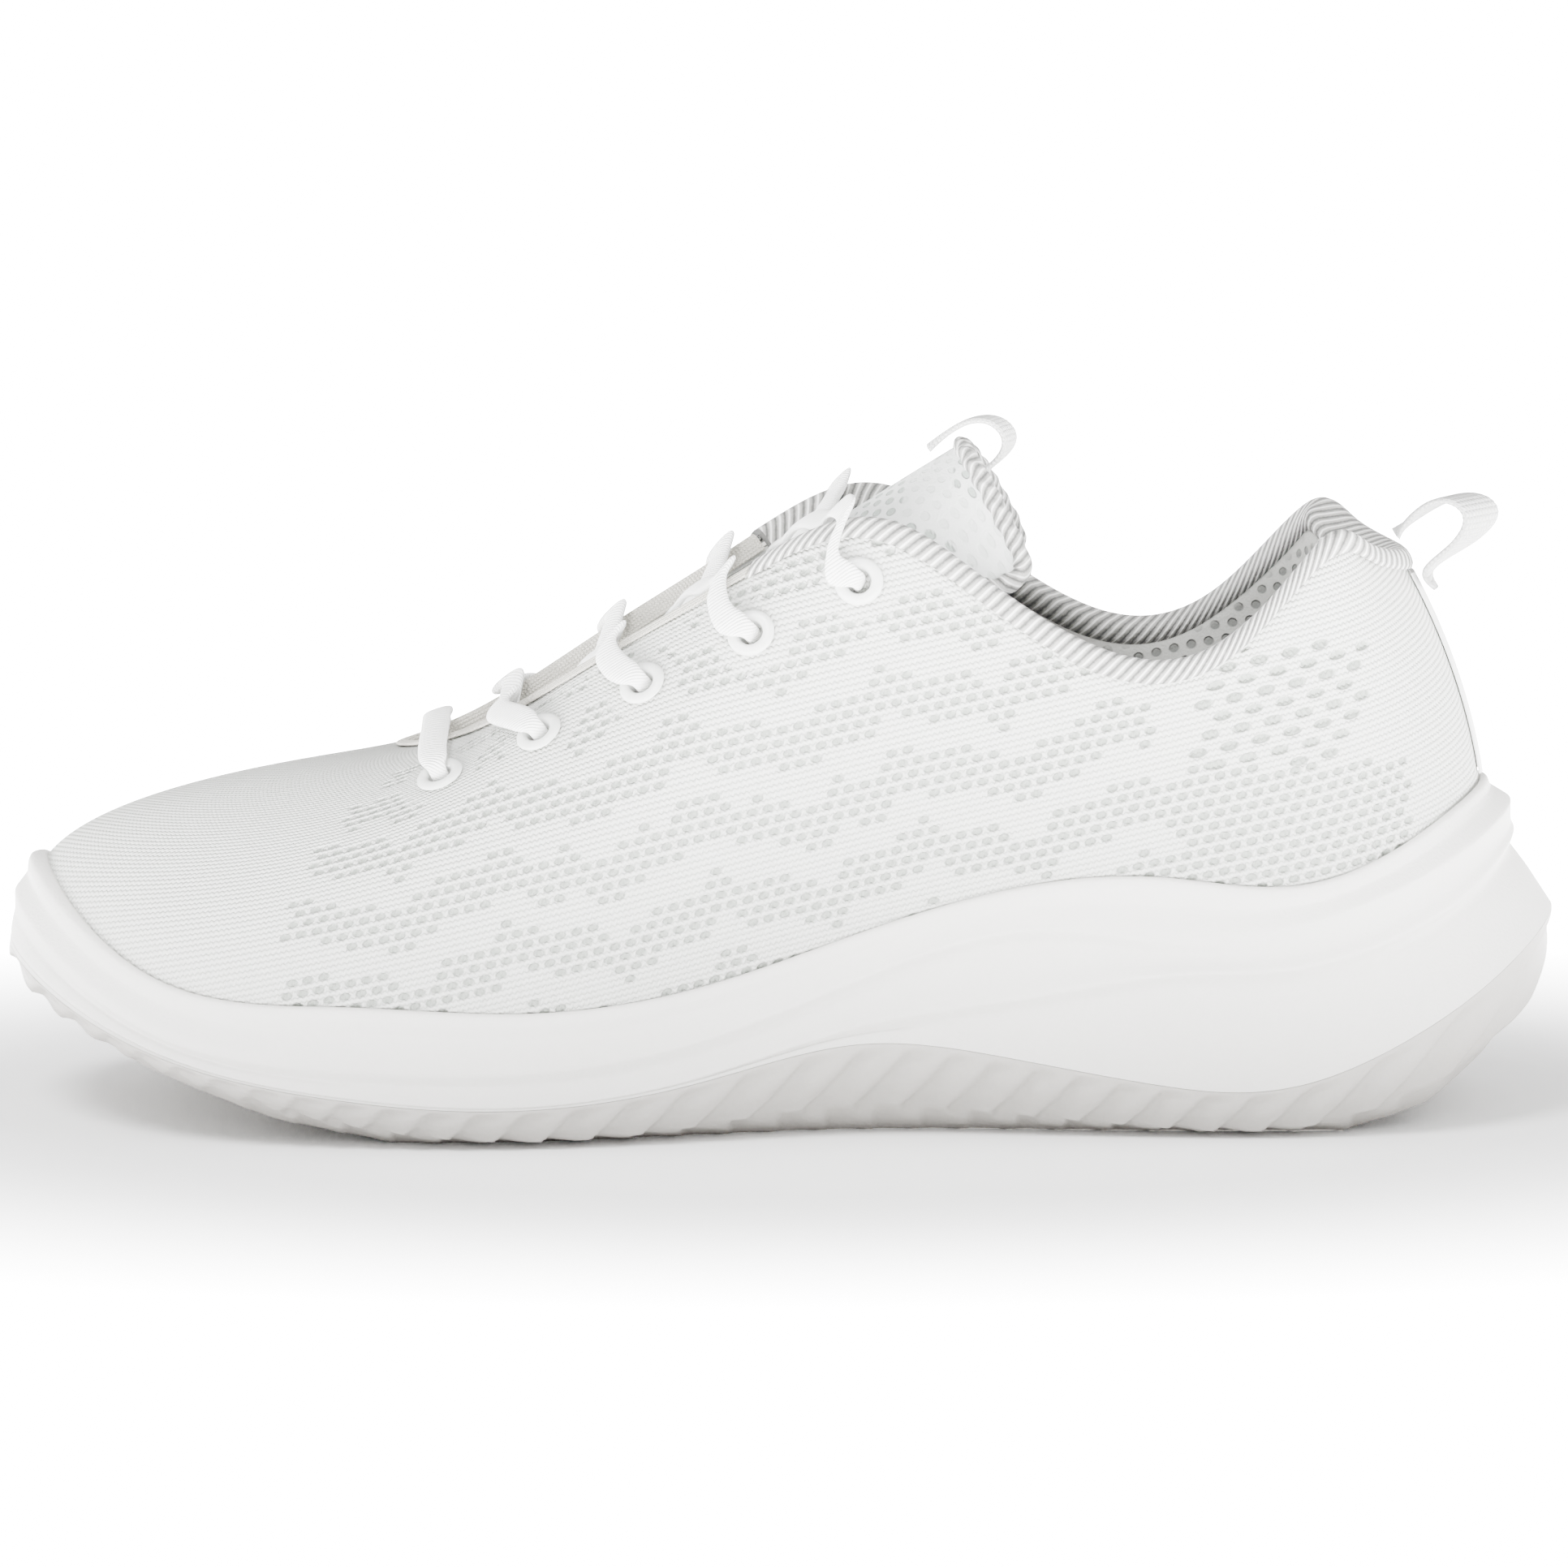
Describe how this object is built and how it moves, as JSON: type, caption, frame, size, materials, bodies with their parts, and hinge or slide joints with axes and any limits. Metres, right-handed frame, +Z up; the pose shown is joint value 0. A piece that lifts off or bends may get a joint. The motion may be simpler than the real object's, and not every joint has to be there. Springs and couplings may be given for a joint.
{
  "type": "running shoe",
  "caption": "Low knit running shoe for the right foot: cupped foam midsole with a ribbed rubber sidewall, padded collar, laced tongue, and pull loops at tongue and heel.",
  "frame": {"origin": "on the ground under the middle of the sole's outline", "axes": "+X runs from toe to heel, -Y is the inner (medial) side of the foot, +Z is up"},
  "size_m": [0.2962, 0.1046, 0.1322],
  "materials": {
    "outsole_rubber": "matt moulded rubber",
    "midsole_foam": "moulded EVA foam with a fine grain",
    "strobel_fabric": "needled fabric board",
    "sockliner_foam": "soft open foam",
    "sockliner_cloth": "brushed knit cloth",
    "upper_knit": "engineered knit mesh",
    "lining_mesh": "spacer mesh",
    "stiffener_board": "thermoformed sheet",
    "eyestay_film": "thin bonded film",
    "collar_foam": "soft open foam",
    "collar_binding": "ribbed knitted tape",
    "throat_tape": "narrow woven tape",
    "heel_stay": "bonded film",
    "tongue_mesh": "spacer mesh",
    "tongue_foam": "soft open foam",
    "tongue_lining": "spacer mesh",
    "tongue_binding": "knitted tape",
    "tongue_webbing": "woven webbing",
    "heel_webbing": "ribbed woven webbing",
    "lace_cord": "flat braided polyester",
    "lace_end_cord": "flat braided polyester",
    "eyelet_plastic": "pressed translucent ring",
    "aglet_plastic": "clear film sleeve"
  },
  "bodies": {
    "shoe": {"outsole": "outsole_rubber", "midsole": "midsole_foam", "strobel_board": "strobel_fabric", "sockliner_foam": "sockliner_foam", "sockliner_cover": "sockliner_cloth", "upper_knit": "upper_knit", "lining": "lining_mesh", "toe_puff": "stiffener_board", "heel_counter": "stiffener_board", "eyestay_medial": "eyestay_film", "eyestay_lateral": "eyestay_film", "collar_foam": "collar_foam", "collar_binding": "collar_binding", "throat_tape": "throat_tape", "heel_stay": "heel_stay", "lace": "lace_cord", "lace_end_medial": "lace_end_cord", "lace_end_lateral": "lace_end_cord", "aglet_medial": "aglet_plastic", "aglet_lateral": "aglet_plastic", "eyelet_medial_1": "eyelet_plastic", "eyelet_medial_2": "eyelet_plastic", "eyelet_medial_3": "eyelet_plastic", "eyelet_medial_4": "eyelet_plastic", "eyelet_medial_5": "eyelet_plastic", "eyelet_lateral_1": "eyelet_plastic", "eyelet_lateral_2": "eyelet_plastic", "eyelet_lateral_3": "eyelet_plastic", "eyelet_lateral_4": "eyelet_plastic", "eyelet_lateral_5": "eyelet_plastic"},
    "tongue": {"tongue_mesh": "tongue_mesh", "tongue_foam": "tongue_foam", "tongue_lining": "tongue_lining", "tongue_binding": "tongue_binding"},
    "tongue_loop": {"tongue_pull_loop": "tongue_webbing"},
    "heel_loop": {"heel_pull_loop": "heel_webbing"}
  },
  "joints": [
    {"name": "tongue_hinge", "type": "hinge", "parent": "shoe", "child": "tongue", "pos_m": [-0.08452, -0.00197, 0.05777], "axis": [0, 1, 0], "range_deg": [0, 12], "stiffness_Nm_per_rad": 1.5, "springref_deg": -1.15},
    {"name": "tongue_loop_fold", "type": "hinge", "parent": "tongue", "child": "tongue_loop", "pos_m": [0.03318, -0.00131, 0.12628], "axis": [0, 1, 0], "range_deg": [-15, 25], "stiffness_Nm_per_rad": 0.02},
    {"name": "heel_loop_fold", "type": "hinge", "parent": "shoe", "child": "heel_loop", "pos_m": [0.12429, -0.0013, 0.09987], "axis": [0, 1, 0], "range_deg": [-12, 40], "stiffness_Nm_per_rad": 0.03}
  ]
}
